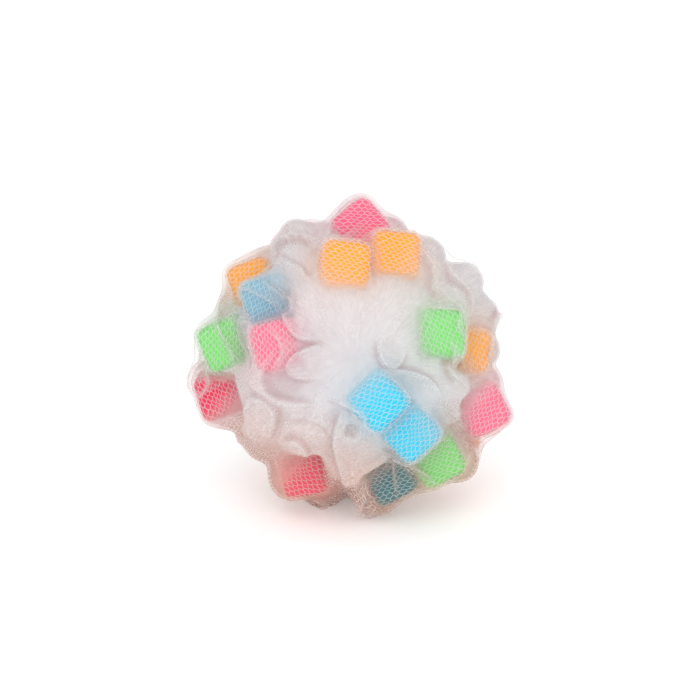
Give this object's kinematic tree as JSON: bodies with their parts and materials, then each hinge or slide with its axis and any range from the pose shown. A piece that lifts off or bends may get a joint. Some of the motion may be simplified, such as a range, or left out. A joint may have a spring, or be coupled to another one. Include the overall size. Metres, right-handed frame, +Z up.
{
  "type": "mesh bath pouf",
  "caption": "Round bath pouf of ruffled knitted netting gathered at its middle, with soft coloured sponge blocks held between the ruffles.",
  "frame": {"origin": "on the surface that the pouf rests on, below the middle of its box", "axes": "+Z up from the rest surface; -Y towards the side whose ruffles open round the gather, which the picture shows; +X to the right of that view"},
  "size_m": [0.1267, 0.1217, 0.1245],
  "materials": {
    "netting": "white knitted nylon netting",
    "twine": "white twisted nylon twine",
    "pink": "pink open-cell sponge",
    "rose": "deep pink open-cell sponge",
    "orange": "orange open-cell sponge",
    "peach": "peach open-cell sponge",
    "green": "green open-cell sponge",
    "cyan": "light blue open-cell sponge",
    "blue": "blue open-cell sponge",
    "teal": "teal open-cell sponge"
  },
  "bodies": {
    "root": {"net_ruffles": "netting", "gather_tie": "twine", "sponge_pink_top": "pink", "sponge_orange_top_left": "orange", "sponge_orange_top_right": "orange", "sponge_orange_left": "orange", "sponge_blue_left": "blue", "sponge_green_left": "green", "sponge_pink_left": "pink", "sponge_rose_far_left": "rose", "sponge_rose_bottom_left": "rose", "sponge_cyan_front_upper": "cyan", "sponge_cyan_front_lower": "cyan", "sponge_teal_bottom": "teal", "sponge_green_bottom_right": "green", "sponge_pink_right": "pink", "sponge_orange_right": "orange", "sponge_green_right": "green", "sponge_peach_under_right": "peach", "sponge_pink_back_top": "pink", "sponge_green_back_top": "green", "sponge_blue_back_right": "cyan", "sponge_orange_back_right": "orange", "sponge_rose_back_middle": "pink", "sponge_green_back_low": "green", "sponge_orange_back_low": "orange", "sponge_cyan_back_left": "cyan", "sponge_orange_back_left": "orange"}
  },
  "joints": []
}
